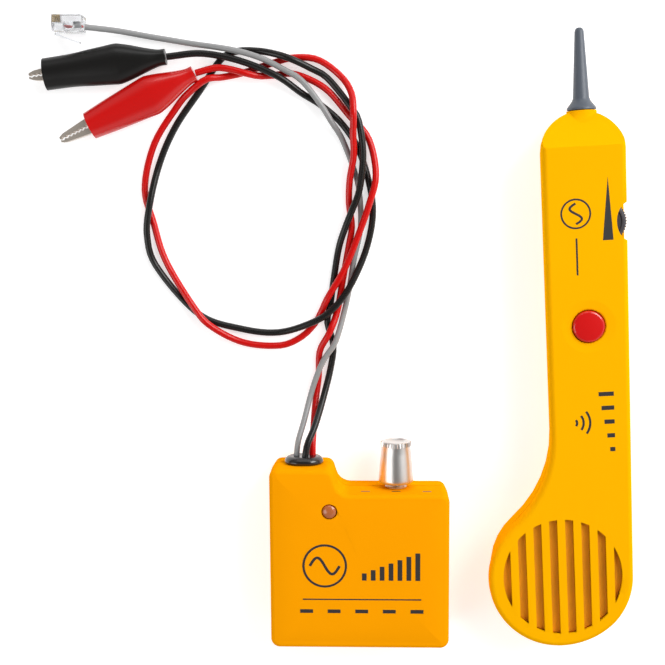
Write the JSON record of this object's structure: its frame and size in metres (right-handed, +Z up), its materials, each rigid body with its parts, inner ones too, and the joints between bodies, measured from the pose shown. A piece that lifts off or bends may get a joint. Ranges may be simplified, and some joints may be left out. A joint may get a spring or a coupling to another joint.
{
  "type": "tone probe kit",
  "caption": "Cable tracing kit: a box-shaped tone generator with clip leads and a modular line plug, and a separate handheld amplifier probe with a speaker grille, wheel and conductive tip.",
  "frame": {"origin": "centre of the table footprint of the two tools together (leads left out), on the table surface", "axes": "+Z up out of both tools' front faces, +Y from the generator's battery end towards its leads and towards the probe's tip, +X from the generator to the probe"},
  "size_m": [0.2463, 0.2579, 0.0287],
  "materials": {
    "generator_orange": "smooth gloss moulding",
    "probe_yellow": "smooth gloss moulding",
    "black_rubber": "smooth, slightly glossy",
    "red_rubber": "smooth vinyl, slightly glossy",
    "black_wire": "smooth insulation",
    "red_wire": "smooth insulation",
    "grey_cord": "smooth jacket",
    "chrome": "polished plating",
    "nickel": "nickel plated sheet, satin",
    "steel": "zinc plated",
    "gold_contact": "gold plated",
    "clear_plastic": "clear moulded plastic",
    "led_lens": "frosted",
    "tip_grey": "conductive plastic, satin",
    "wheel_grey": "knurled",
    "button_red": "smooth",
    "board_green": "solder mask",
    "chip_black": "moulded",
    "capacitor_blue": "sleeved",
    "battery_case": "plain jacket",
    "speaker_cone": "pressed paper"
  },
  "bodies": {
    "generator": {"generator_back_shell": "generator_orange", "generator_front_shell": "generator_orange", "generator_battery": "battery_case", "generator_battery_snap": "black_rubber", "generator_circuit_board": "board_green", "tone_oscillator_chip": "chip_black", "generator_capacitor": "capacitor_blue", "status_led": "led_lens", "toggle_switch_body": "chip_black", "toggle_bushing": "chrome", "lead_grommet": "black_rubber", "generator_case_screw_1": "steel", "generator_case_screw_2": "steel", "generator_case_screw_3": "steel", "generator_case_screw_4": "steel", "black_lead": "black_wire", "red_lead": "red_wire", "line_cord": "grey_cord", "red_clip_boot": "red_rubber", "red_clip_fixed_jaw": "nickel", "red_clip_pivot_pin": "steel", "red_clip_spring": "steel", "black_clip_boot": "black_rubber", "black_clip_fixed_jaw": "nickel", "black_clip_pivot_pin": "steel", "black_clip_spring": "steel", "plug_housing": "clear_plastic", "plug_contact_1": "gold_contact", "plug_contact_2": "gold_contact", "plug_contact_3": "gold_contact", "plug_contact_4": "gold_contact"},
    "toggle": {"toggle_lever": "chrome", "toggle_cap": "chrome"},
    "generator_door": {"generator_battery_door": "generator_orange"},
    "red_jaw": {"red_clip_moving_jaw": "nickel"},
    "black_jaw": {"black_clip_moving_jaw": "nickel"},
    "latch": {"plug_latch": "clear_plastic"},
    "probe": {"probe_back_shell": "probe_yellow", "probe_front_shell": "probe_yellow", "probe_tip": "tip_grey", "pickup_antenna": "nickel", "probe_battery": "battery_case", "probe_battery_snap": "black_rubber", "probe_circuit_board": "board_green", "button_switch": "chip_black", "volume_control": "chip_black", "amplifier_chip": "chip_black", "probe_capacitor": "capacitor_blue", "speaker_basket": "steel", "speaker_cone": "speaker_cone", "speaker_magnet": "steel", "probe_case_screw_1": "steel", "probe_case_screw_2": "steel", "probe_case_screw_3": "steel", "probe_case_screw_4": "steel"},
    "button": {"power_button": "button_red"},
    "wheel": {"volume_wheel": "wheel_grey"},
    "probe_door": {"probe_battery_door": "probe_yellow"}
  },
  "joints": [
    {"name": "toggle_swing", "type": "hinge", "parent": "generator", "child": "toggle", "pos_m": [-0.02305, -0.0594, 0.014], "axis": [0, 0, 1], "range_deg": [-11, 11]},
    {"name": "generator_door_slide", "type": "slide", "parent": "generator", "child": "generator_door", "axis": [0, -1, 0], "range_m": [0, 0.03]},
    {"name": "red_jaw_open", "type": "hinge", "parent": "generator", "child": "red_jaw", "pos_m": [-0.14346, 0.09114, 0.0049], "axis": [0, 0, -1], "range_deg": [0, 10], "stiffness_Nm_per_rad": 0.1, "springref_deg": -28.65, "deforming": ["red_clip_spring"]},
    {"name": "black_jaw_open", "type": "hinge", "parent": "generator", "child": "black_jaw", "pos_m": [-0.15388, 0.11138, 0.0049], "axis": [0, 0, -1], "range_deg": [0, 10], "stiffness_Nm_per_rad": 0.1, "springref_deg": -28.65, "deforming": ["black_clip_spring"]},
    {"name": "plug_latch_flex", "type": "hinge", "parent": "generator", "child": "latch", "pos_m": [-0.1605, 0.1258, 0.00485], "axis": [0, 0, 1], "range_deg": [0, 10], "stiffness_Nm_per_rad": 0.02},
    {"name": "probe_lift", "type": "slide", "parent": "generator", "child": "probe", "axis": [0, 0, 1], "range_m": [0, 0.06]},
    {"name": "power_button_press", "type": "slide", "parent": "probe", "child": "button", "axis": [0, 0, -1], "range_m": [0, 0.0015], "stiffness_N_per_m": 800, "springref_m": -0.001},
    {"name": "volume_wheel_turn", "type": "hinge", "parent": "probe", "child": "wheel", "pos_m": [0.05911, 0.04916, 0.0186], "axis": [0, 0, 1], "range_deg": [0, 270]},
    {"name": "probe_door_slide", "type": "slide", "parent": "probe", "child": "probe_door", "axis": [0.0497, -0.9988, 0], "range_m": [0, 0.006]}
  ]
}
